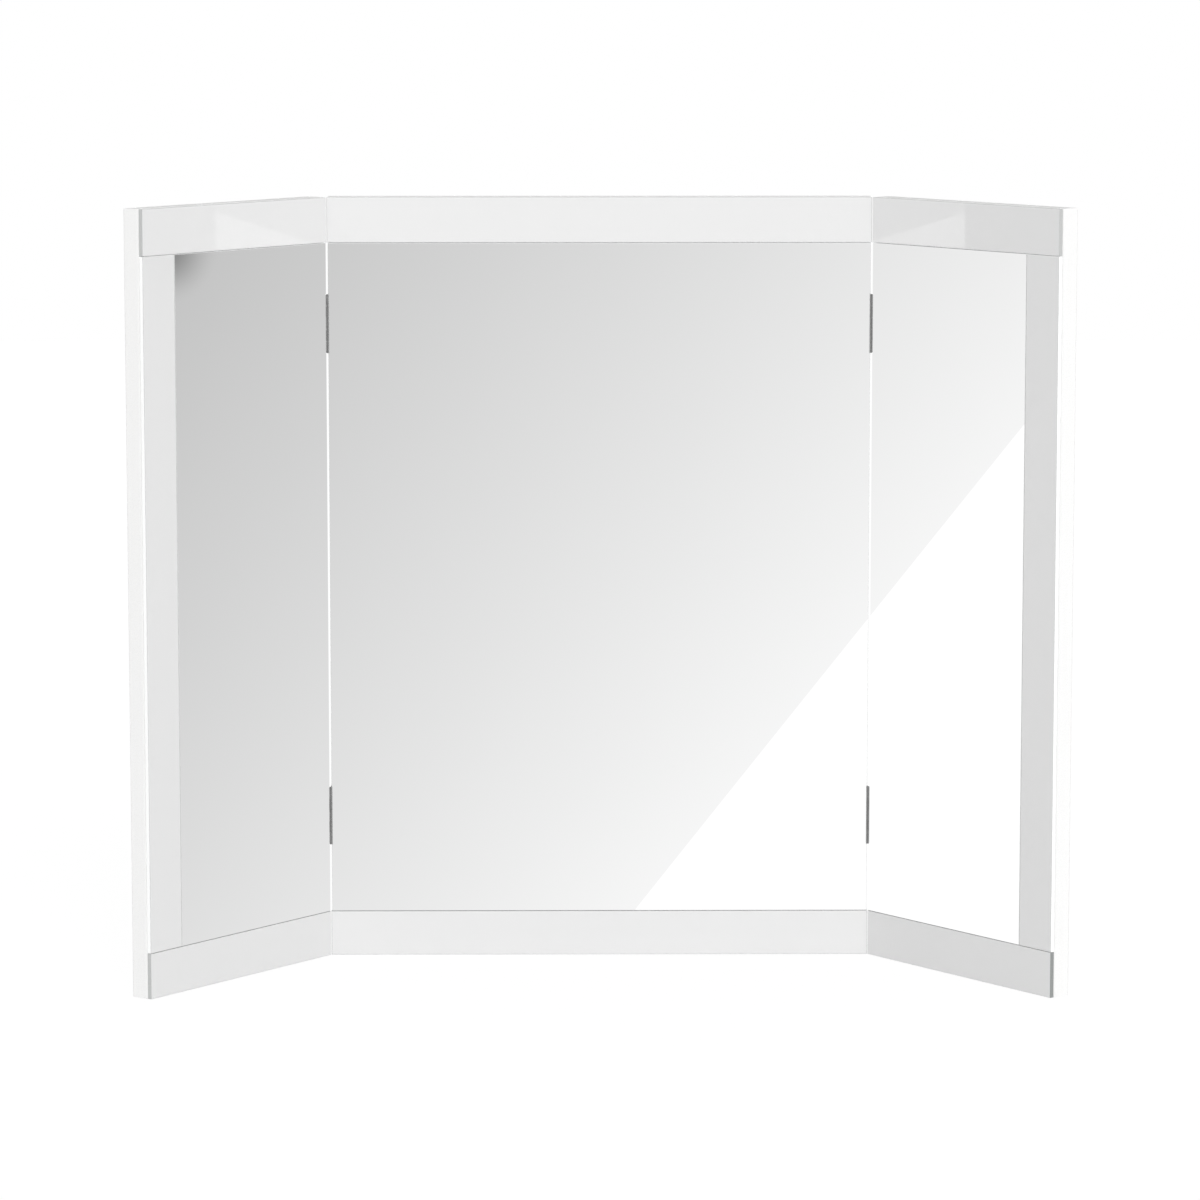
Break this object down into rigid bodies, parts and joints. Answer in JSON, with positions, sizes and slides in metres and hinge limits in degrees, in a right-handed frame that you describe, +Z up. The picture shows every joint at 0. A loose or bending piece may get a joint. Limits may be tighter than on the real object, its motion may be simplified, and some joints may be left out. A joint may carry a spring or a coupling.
{
  "type": "folding dressing table mirror",
  "caption": "Free-standing dressing table mirror with a centre panel and half-width wings that fold on vertical hinges, bordered with white glass on white edged boards.",
  "frame": {"origin": "middle of the centre panel's bottom face, half way through its thickness", "axes": "+Z up, +X along the centre panel to the viewer's right, +Y from the mirrored front to the back"},
  "size_m": [0.8388, 0.2192, 0.706],
  "materials": {
    "white_board": "satin white faced board",
    "white_edging": "satin white edging with rounded corners",
    "mirror_glass": "silvered float glass with a ground arris",
    "white_glass": "glossy back-painted white glass",
    "bonding_tape": "matt double-sided tape",
    "hinge_steel": "dark satin steel",
    "pin_steel": "drawn steel",
    "screw_steel": "zinc-plated steel"
  },
  "bodies": {
    "centre": {"centre_board": "white_board", "centre_top_edging": "white_edging", "centre_bottom_edging": "white_edging", "centre_left_edging": "white_edging", "centre_right_edging": "white_edging", "centre_mirror": "mirror_glass", "centre_top_rail": "white_glass", "centre_bottom_rail": "white_glass", "centre_mirror_tape": "bonding_tape", "centre_rail_tape": "bonding_tape", "upper_left_centre_leaf": "hinge_steel", "upper_left_pin": "pin_steel", "lower_left_centre_leaf": "hinge_steel", "lower_left_pin": "pin_steel", "upper_right_centre_leaf": "hinge_steel", "upper_right_pin": "pin_steel", "lower_right_centre_leaf": "hinge_steel", "lower_right_pin": "pin_steel", "centre_screws": "screw_steel"},
    "left_wing": {"left_board": "white_board", "left_top_edging": "white_edging", "left_bottom_edging": "white_edging", "left_outer_edging": "white_edging", "left_hinge_edging": "white_edging", "left_mirror": "mirror_glass", "left_top_rail": "white_glass", "left_bottom_rail": "white_glass", "left_stile": "white_glass", "left_mirror_tape": "bonding_tape", "left_trim_tape": "bonding_tape", "upper_left_wing_leaf": "hinge_steel", "lower_left_wing_leaf": "hinge_steel", "left_wing_screws": "screw_steel"},
    "right_wing": {"right_board": "white_board", "right_top_edging": "white_edging", "right_bottom_edging": "white_edging", "right_outer_edging": "white_edging", "right_hinge_edging": "white_edging", "right_mirror": "mirror_glass", "right_top_rail": "white_glass", "right_bottom_rail": "white_glass", "right_stile": "white_glass", "right_mirror_tape": "bonding_tape", "right_trim_tape": "bonding_tape", "upper_right_wing_leaf": "hinge_steel", "lower_right_wing_leaf": "hinge_steel", "right_wing_screws": "screw_steel"}
  },
  "joints": [
    {"name": "left_wing_fold", "type": "hinge", "parent": "centre", "child": "left_wing", "pos_m": [-0.2498, -0.0116, 0.353], "axis": [0, 0, 1], "range_deg": [-52.3, 127.7]},
    {"name": "right_wing_fold", "type": "hinge", "parent": "centre", "child": "right_wing", "pos_m": [0.2498, -0.0116, 0.353], "axis": [0, 0, -1], "range_deg": [-52.3, 127.7]}
  ]
}
